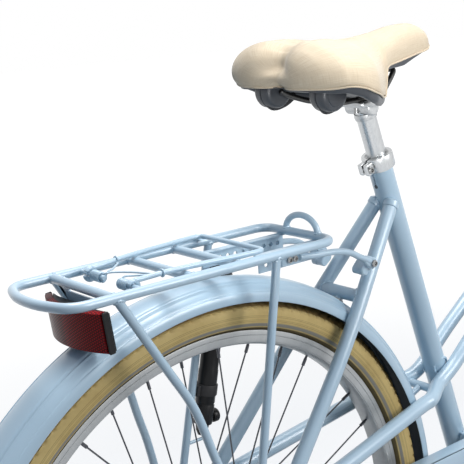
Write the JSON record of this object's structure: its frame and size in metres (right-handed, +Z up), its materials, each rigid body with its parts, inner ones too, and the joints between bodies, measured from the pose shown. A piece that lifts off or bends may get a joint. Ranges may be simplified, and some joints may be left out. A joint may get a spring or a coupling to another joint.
{
  "type": "city bicycle",
  "caption": "City bicycle with low frame, padded saddle, rear carrier with sprung flap, mudguards, half chain case, swept handlebar and two-legged stand.",
  "frame": {"origin": "on the ground under the middle of the bicycle's box", "axes": "+X points forward along the bicycle, +Y to the rider's left, +Z up"},
  "size_m": [1.85, 0.6344, 1.0913],
  "materials": {
    "blue_paint": "gloss",
    "bare_alloy": "satin",
    "dark_steel": "dark satin",
    "tan_rubber": "matt",
    "black_plastic": "satin",
    "grey_plastic": "satin",
    "red_lens": "gloss",
    "beige_cover": "woven, matt"
  },
  "bodies": {
    "frame": {"air_pump": "black_plastic", "bottom_bracket": "blue_paint", "chain": "dark_steel", "chain_case": "blue_paint", "chain_stay_left": "blue_paint", "chain_stay_right": "blue_paint", "down_tube": "blue_paint", "flap_spring_left": "dark_steel", "flap_spring_right": "dark_steel", "head_tube": "blue_paint", "lateral_bridge": "blue_paint", "lateral_tube_left": "blue_paint", "lateral_tube_right": "blue_paint", "rack_arm_left": "blue_paint", "rack_arm_right": "blue_paint", "rack_deck": "blue_paint", "rack_hoop": "blue_paint", "rack_leg_left": "blue_paint", "rack_leg_right": "blue_paint", "rear_axle": "dark_steel", "rear_guard_stay": "dark_steel", "rear_mudguard": "blue_paint", "reflector_housing": "black_plastic", "reflector_lens": "red_lens", "seat_collar": "bare_alloy", "seat_collar_bolt": "dark_steel", "seat_stay_bridge": "blue_paint", "seat_stay_left": "blue_paint", "seat_stay_right": "blue_paint", "seat_tube": "blue_paint", "stand_bracket": "blue_paint"},
    "rear_wheel": {"rear_tyre": "tan_rubber", "rear_rim": "bare_alloy", "rear_hub": "bare_alloy"},
    "rear_sprocket": {"rear_sprocket": "dark_steel"},
    "steering": {"fork": "blue_paint", "stem": "bare_alloy", "handlebar": "bare_alloy", "grip_left": "black_plastic", "grip_right": "black_plastic", "front_axle": "dark_steel", "front_mudguard": "blue_paint", "front_guard_stay": "dark_steel", "front_lamp": "bare_alloy"},
    "front_wheel": {"front_tyre": "tan_rubber", "front_rim": "bare_alloy", "front_hub": "bare_alloy"},
    "cranks": {"crank_left": "bare_alloy", "crank_right": "bare_alloy", "crank_spindle": "dark_steel"},
    "pedal_left": {"pedal_left": "black_plastic"},
    "pedal_right": {"pedal_right": "black_plastic"},
    "seat": {"seat_post": "bare_alloy", "saddle_clamp": "bare_alloy", "saddle_rails": "dark_steel", "saddle_base": "grey_plastic", "saddle_cover": "beige_cover"},
    "flap": {"rack_flap": "blue_paint"},
    "stand": {"stand": "dark_steel"}
  },
  "joints": [
    {"name": "rear_wheel_spin", "type": "hinge", "parent": "frame", "child": "rear_wheel", "pos_m": [-0.547, 0, 0.357], "axis": [0, 1, 0], "continuous": true},
    {"name": "sprocket_spin", "type": "hinge", "parent": "frame", "child": "rear_sprocket", "pos_m": [-0.547, -0.048, 0.357], "axis": [0, 1, 0], "continuous": true},
    {"name": "steering_turn", "type": "hinge", "parent": "frame", "child": "steering", "pos_m": [0.37479, 0, 0.72704], "axis": [-0.342, 0, 0.9397], "range_deg": [-60, 60]},
    {"name": "front_wheel_spin", "type": "hinge", "parent": "steering", "child": "front_wheel", "pos_m": [0.568, 0, 0.357], "axis": [0, 1, 0], "continuous": true},
    {"name": "crank_spin", "type": "hinge", "parent": "frame", "child": "cranks", "pos_m": [-0.06058, 0, 0.307], "axis": [0, 1, 0], "continuous": true, "deforming": ["chain"]},
    {"name": "pedal_left_spin", "type": "hinge", "parent": "cranks", "child": "pedal_left", "pos_m": [-0.23058, 0.1265, 0.307], "axis": [0, 1, 0], "continuous": true},
    {"name": "pedal_right_spin", "type": "hinge", "parent": "cranks", "child": "pedal_right", "pos_m": [0.10942, -0.1265, 0.307], "axis": [0, 1, 0], "continuous": true},
    {"name": "seat_height", "type": "slide", "parent": "frame", "child": "seat", "axis": [-0.3256, 0, 0.9455], "range_m": [-0.05, 0.1]},
    {"name": "flap_lift", "type": "hinge", "parent": "frame", "child": "flap", "pos_m": [-0.6605, 0, 0.7623], "axis": [0, -1, 0], "range_deg": [0, 75], "stiffness_Nm_per_rad": 0.8, "springref_deg": -28.65, "deforming": ["flap_spring_left", "flap_spring_right"]},
    {"name": "stand_fold", "type": "hinge", "parent": "frame", "child": "stand", "pos_m": [-0.127, 0, 0.267], "axis": [0, 1, 0], "range_deg": [0, 65]}
  ],
  "couplings": [
    {"joint": "sprocket_spin", "follows": "crank_spin", "ratio": 2.4444}
  ]
}
